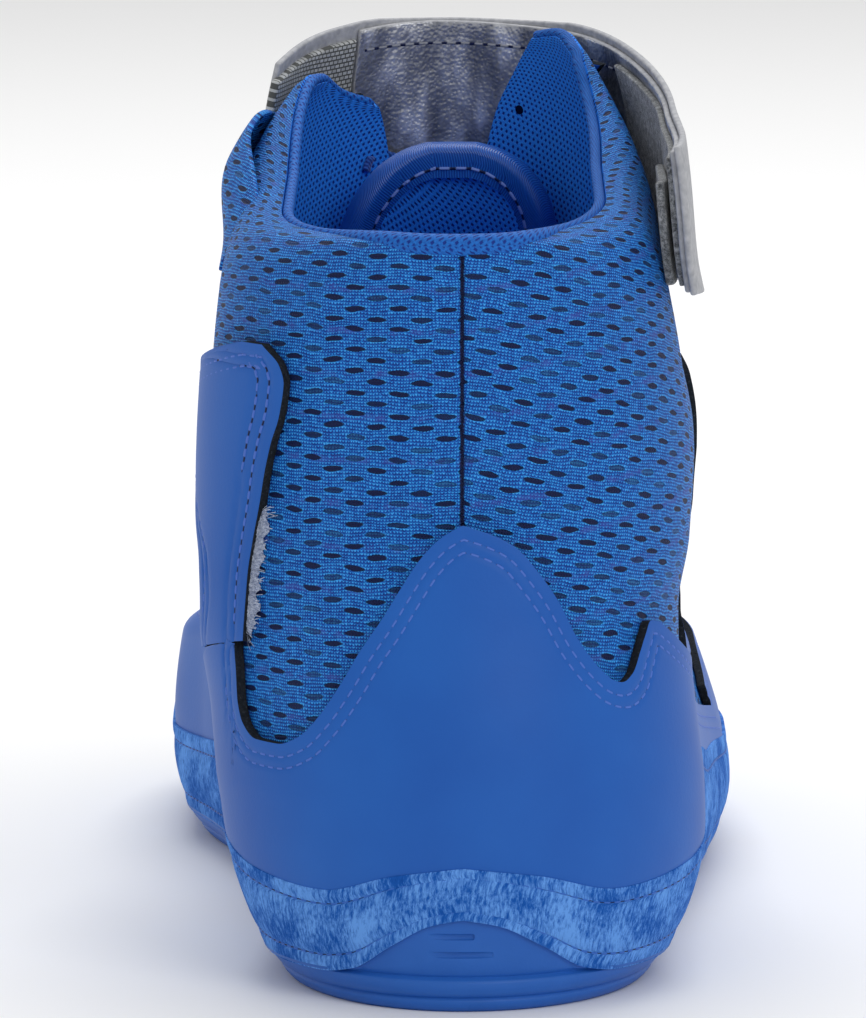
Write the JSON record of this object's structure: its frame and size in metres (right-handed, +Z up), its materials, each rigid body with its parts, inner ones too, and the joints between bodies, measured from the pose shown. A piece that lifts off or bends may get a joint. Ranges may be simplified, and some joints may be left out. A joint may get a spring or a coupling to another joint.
{
  "type": "wrestling shoe",
  "caption": "Mid-high laced wrestling shoe for the right foot: mesh shaft with a padded collar, leather overlays, suede rand, thin wave-edged rubber sole and a metallic ankle strap.",
  "frame": {"origin": "on the floor under the middle of the shoe's bounding box", "axes": "+Z up, toe towards +Y, outer side of the foot towards +X"},
  "size_m": [0.1114, 0.2962, 0.1684],
  "materials": {
    "outsole": "satin moulded rubber",
    "suede_rand": "napped suede",
    "upper": "knitted mesh",
    "insole": "knit",
    "tongue": "padded knit",
    "heel_counter": "smooth matte leather",
    "toe_guard": "smooth matte leather",
    "ankle_panel_medial": "smooth matte leather",
    "ankle_panel_lateral": "smooth matte leather",
    "eyestay": "smooth matte leather",
    "lace_crossings": "woven flat lace",
    "ankle_strap": "metallic coated, pebbled",
    "strap_webbing": "elastic webbing",
    "grip_patch": "hook tape"
  },
  "bodies": {
    "root": {"outsole": "outsole", "suede_rand": "suede_rand", "upper": "upper", "insole": "insole", "tongue": "tongue", "heel_counter": "heel_counter", "toe_guard": "toe_guard", "ankle_panel_medial": "ankle_panel_medial", "ankle_panel_lateral": "ankle_panel_lateral", "eyestay": "eyestay", "lace_crossings": "lace_crossings", "ankle_strap": "ankle_strap", "strap_webbing": "strap_webbing", "grip_patch": "grip_patch"}
  },
  "joints": []
}
